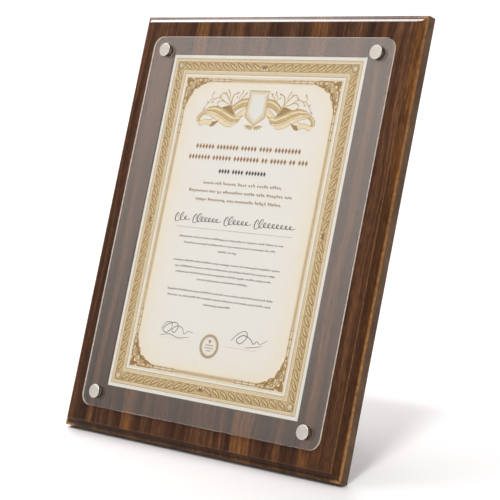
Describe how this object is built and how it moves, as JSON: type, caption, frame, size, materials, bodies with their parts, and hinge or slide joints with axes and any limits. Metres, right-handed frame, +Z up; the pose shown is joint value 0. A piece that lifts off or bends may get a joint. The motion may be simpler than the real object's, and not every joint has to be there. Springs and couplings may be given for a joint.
{
  "type": "certificate plaque",
  "caption": "Walnut-finish certificate plaque with routed cove edge, clear acrylic cover held by satin screw caps, framed sheet and a folding rear strut.",
  "frame": {"origin": "on the surface it stands on, at the centre of the bounding box's footprint", "axes": "+Z up, the printed face looks towards -Y and leans back 17.5 degrees, +X to the reader's right"},
  "size_m": [0.305, 0.1507, 0.3603],
  "materials": {
    "walnut_foil": "satin walnut-grain foil",
    "edge_paint": "brown painted board edge",
    "certificate_paper": "uncoated cream card",
    "clear_acrylic": "polished clear acrylic",
    "satin_nickel": "satin nickel plate",
    "clear_nylon": "clear nylon",
    "zinc_steel": "bright zinc plate",
    "brass": "turned brass",
    "black_steel": "black enamel",
    "black_board": "black stained board",
    "black_rubber": "matte rubber"
  },
  "bodies": {
    "board": {"board_core": "edge_paint", "walnut_foil": "walnut_foil", "certificate_sheet": "certificate_paper", "acrylic_cover": "clear_acrylic", "brass_insert_top_left": "brass", "brass_insert_top_right": "brass", "brass_insert_bottom_left": "brass", "brass_insert_bottom_right": "brass", "strut_bracket": "black_steel", "bracket_screw_left_lower": "zinc_steel", "bracket_screw_left_upper": "zinc_steel", "bracket_screw_right_lower": "zinc_steel", "bracket_screw_right_upper": "zinc_steel", "strut_pin": "zinc_steel", "strut_spacer_left": "clear_nylon", "strut_spacer_right": "clear_nylon"},
    "strut": {"strut_leg": "black_board", "strut_foot_pad": "black_rubber"},
    "washer_top_left": {"cap_washer_top_left": "clear_nylon"},
    "cap_top_left": {"cap_top_left": "satin_nickel", "cap_stud_top_left": "zinc_steel"},
    "washer_top_right": {"cap_washer_top_right": "clear_nylon"},
    "cap_top_right": {"cap_top_right": "satin_nickel", "cap_stud_top_right": "zinc_steel"},
    "washer_bottom_left": {"cap_washer_bottom_left": "clear_nylon"},
    "cap_bottom_left": {"cap_bottom_left": "satin_nickel", "cap_stud_bottom_left": "zinc_steel"},
    "washer_bottom_right": {"cap_washer_bottom_right": "clear_nylon"},
    "cap_bottom_right": {"cap_bottom_right": "satin_nickel", "cap_stud_bottom_right": "zinc_steel"}
  },
  "joints": [
    {"name": "strut_fold", "type": "hinge", "parent": "board", "child": "strut", "pos_m": [0, 0.01635, 0.22172], "axis": [-1, 0, 0], "range_deg": [0, 32]},
    {"name": "cap_turn_top_left", "type": "hinge", "parent": "washer_top_left", "child": "cap_top_left", "pos_m": [-0.11525, 0.02329, 0.3312], "axis": [0, -0.9537, 0.3007], "range_deg": [0, 3970]},
    {"name": "cap_travel_top_left", "type": "slide", "parent": "board", "child": "washer_top_left", "axis": [0, -0.9537, 0.3007], "range_m": [0, 0.0077]},
    {"name": "cap_turn_top_right", "type": "hinge", "parent": "washer_top_right", "child": "cap_top_right", "pos_m": [0.11525, 0.02329, 0.3312], "axis": [0, -0.9537, 0.3007], "range_deg": [0, 3970]},
    {"name": "cap_travel_top_right", "type": "slide", "parent": "board", "child": "washer_top_right", "axis": [0, -0.9537, 0.3007], "range_m": [0, 0.0077]},
    {"name": "cap_turn_bottom_left", "type": "hinge", "parent": "washer_bottom_left", "child": "cap_bottom_left", "pos_m": [-0.11525, -0.06933, 0.03745], "axis": [0, -0.9537, 0.3007], "range_deg": [0, 3970]},
    {"name": "cap_travel_bottom_left", "type": "slide", "parent": "board", "child": "washer_bottom_left", "axis": [0, -0.9537, 0.3007], "range_m": [0, 0.0077]},
    {"name": "cap_turn_bottom_right", "type": "hinge", "parent": "washer_bottom_right", "child": "cap_bottom_right", "pos_m": [0.11525, -0.06933, 0.03745], "axis": [0, -0.9537, 0.3007], "range_deg": [0, 3970]},
    {"name": "cap_travel_bottom_right", "type": "slide", "parent": "board", "child": "washer_bottom_right", "axis": [0, -0.9537, 0.3007], "range_m": [0, 0.0077]}
  ],
  "couplings": [
    {"joint": "cap_turn_top_left", "follows": "cap_travel_top_left", "rad_per_m": 8976},
    {"joint": "cap_turn_top_right", "follows": "cap_travel_top_right", "rad_per_m": 8976},
    {"joint": "cap_turn_bottom_left", "follows": "cap_travel_bottom_left", "rad_per_m": 8976},
    {"joint": "cap_turn_bottom_right", "follows": "cap_travel_bottom_right", "rad_per_m": 8976}
  ]
}
